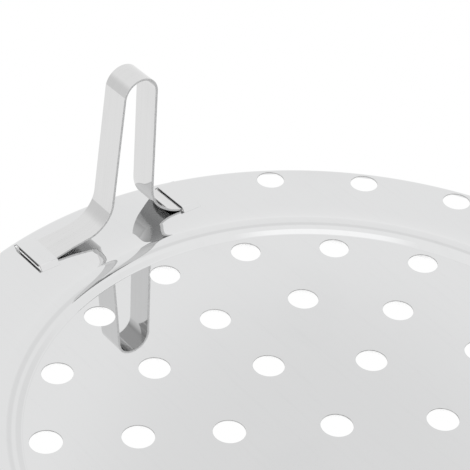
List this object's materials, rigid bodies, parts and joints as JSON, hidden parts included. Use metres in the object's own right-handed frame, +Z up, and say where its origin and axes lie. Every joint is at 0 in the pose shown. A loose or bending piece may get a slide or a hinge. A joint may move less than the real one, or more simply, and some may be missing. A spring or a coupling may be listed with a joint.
{
  "type": "steamer plate",
  "caption": "Round perforated steaming plate of polished sheet with a raised bead and turned-down lip, and upright bent-strip handles held under straps lanced out of the rim.",
  "frame": {"origin": "on the plate's axis, level with the foot of the turned-down lip that the plate stands on", "axes": "+Z up along the plate's axis; the two handles stand on the X axis, the one in the picture at -X, each with its strip's width along X and its loop along Y"},
  "size_m": [0.248, 0.248, 0.0565],
  "materials": {
    "polished_sheet": "mirror-polished stainless sheet with faint wiping marks",
    "polished_strip": "polished stainless strip with sheared edges"
  },
  "bodies": {
    "root": {"steamer_plate": "polished_sheet", "lift_handle_left": "polished_strip", "lift_handle_right": "polished_strip"}
  },
  "joints": []
}
